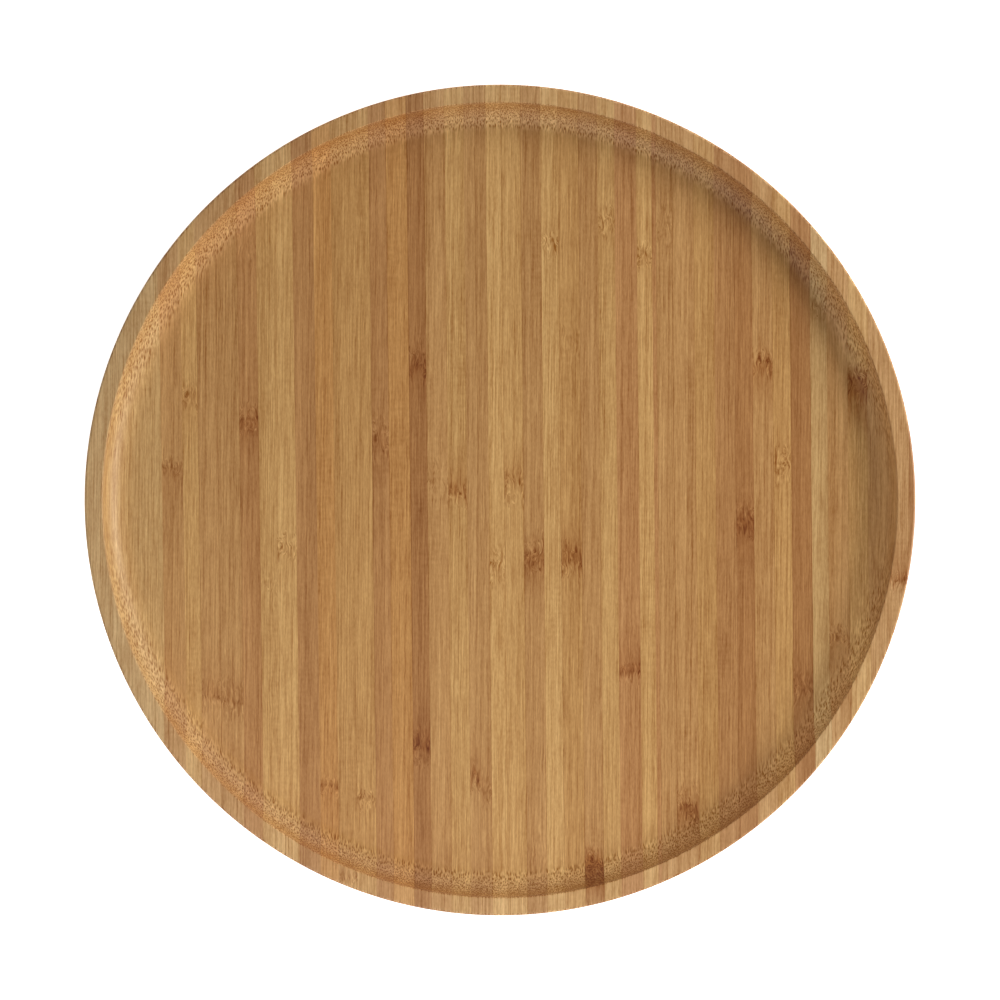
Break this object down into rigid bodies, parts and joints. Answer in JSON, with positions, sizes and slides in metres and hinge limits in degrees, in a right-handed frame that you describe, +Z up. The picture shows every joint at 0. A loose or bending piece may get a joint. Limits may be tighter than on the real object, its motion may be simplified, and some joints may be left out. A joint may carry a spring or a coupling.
{
  "type": "lazy susan turntable",
  "caption": "Round bamboo serving tray with a raised rim that turns freely on a ring ball bearing over a smaller footed base.",
  "frame": {"origin": "centre of the plane that the feet stand on, on the spin axis", "axes": "+Z up along the spin axis; the bamboo staves run along Y; +X across the staves"},
  "size_m": [0.35, 0.35, 0.042],
  "materials": {
    "tray_bamboo": "satin oiled",
    "base_bamboo": "satin oiled",
    "race_aluminium": "turned satin",
    "rivet_aluminium": "satin",
    "ball_steel": "polished",
    "cage_nylon": "moulded",
    "screw_steel": "zinc plated",
    "washer_steel": "zinc plated",
    "foot_rubber": "matte"
  },
  "bodies": {
    "base": {"base_disc": "base_bamboo", "outer_race_lower": "race_aluminium", "outer_race_upper": "race_aluminium", "race_rivets": "rivet_aluminium", "base_screws": "screw_steel", "foot_screws": "screw_steel", "foot_washers": "washer_steel", "rubber_foot_1": "foot_rubber", "rubber_foot_2": "foot_rubber", "rubber_foot_3": "foot_rubber", "rubber_foot_4": "foot_rubber", "rubber_foot_5": "foot_rubber", "rubber_foot_6": "foot_rubber"},
    "turntable": {"tray": "tray_bamboo", "inner_race": "race_aluminium", "tray_screws": "screw_steel"},
    "ball_set": {"ball_cage": "cage_nylon", "bearing_ball_01": "ball_steel", "bearing_ball_02": "ball_steel", "bearing_ball_03": "ball_steel", "bearing_ball_04": "ball_steel", "bearing_ball_05": "ball_steel", "bearing_ball_06": "ball_steel", "bearing_ball_07": "ball_steel", "bearing_ball_08": "ball_steel", "bearing_ball_09": "ball_steel", "bearing_ball_10": "ball_steel", "bearing_ball_11": "ball_steel", "bearing_ball_12": "ball_steel", "bearing_ball_13": "ball_steel", "bearing_ball_14": "ball_steel", "bearing_ball_15": "ball_steel", "bearing_ball_16": "ball_steel", "bearing_ball_17": "ball_steel", "bearing_ball_18": "ball_steel", "bearing_ball_19": "ball_steel", "bearing_ball_20": "ball_steel", "bearing_ball_21": "ball_steel", "bearing_ball_22": "ball_steel", "bearing_ball_23": "ball_steel", "bearing_ball_24": "ball_steel", "bearing_ball_25": "ball_steel", "bearing_ball_26": "ball_steel", "bearing_ball_27": "ball_steel", "bearing_ball_28": "ball_steel", "bearing_ball_29": "ball_steel", "bearing_ball_30": "ball_steel"}
  },
  "joints": [
    {"name": "tray_spin", "type": "hinge", "parent": "base", "child": "turntable", "pos_m": [0, 0, 0.01975], "axis": [0, 0, 1], "continuous": true},
    {"name": "ball_roll", "type": "hinge", "parent": "base", "child": "ball_set", "pos_m": [0, 0, 0.01975], "axis": [0, 0, 1], "continuous": true}
  ],
  "couplings": [
    {"joint": "ball_roll", "follows": "tray_spin", "ratio": 0.47863}
  ]
}
